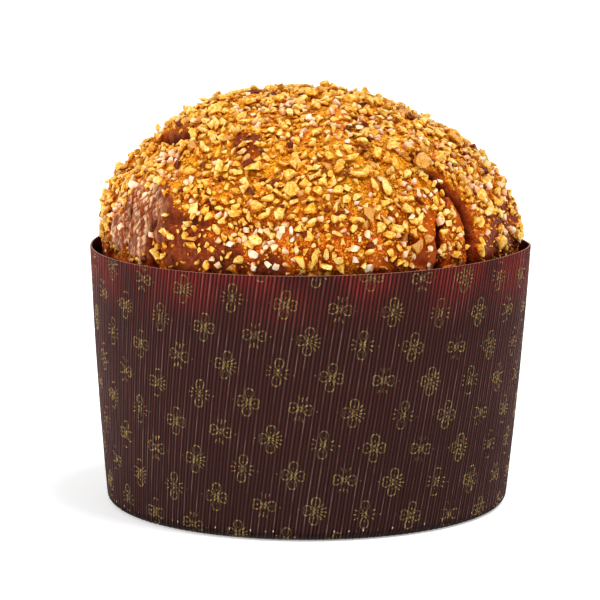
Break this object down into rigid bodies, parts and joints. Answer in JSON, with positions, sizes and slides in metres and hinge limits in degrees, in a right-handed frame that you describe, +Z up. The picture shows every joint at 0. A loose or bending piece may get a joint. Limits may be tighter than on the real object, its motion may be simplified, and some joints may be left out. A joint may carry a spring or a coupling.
{
  "type": "panettone in a paper case",
  "caption": "Tall domed sweet bread topped with chopped almonds and pearl sugar, in a fluted paper baking case.",
  "frame": {"origin": "on the surface it stands on, under the middle of the rim", "axes": "+Z up, -Y the shown front, +X to the right seen from the front"},
  "size_m": [0.1856, 0.1856, 0.177],
  "materials": {
    "crust": "baked crust with a crackled sugar glaze, satin",
    "case_paper": "dark brown greaseproof paper, finely fluted, soft sheen",
    "case_print": "thin gold ink on the paper",
    "almond": "toasted chopped almond, satin",
    "almond_skin": "dark toasted almond skin, satin",
    "pearl_sugar": "white pearl sugar, slightly translucent"
  },
  "bodies": {
    "root": {"loaf": "crust", "case_wall": "case_paper", "case_base": "case_paper"}
  },
  "joints": []
}
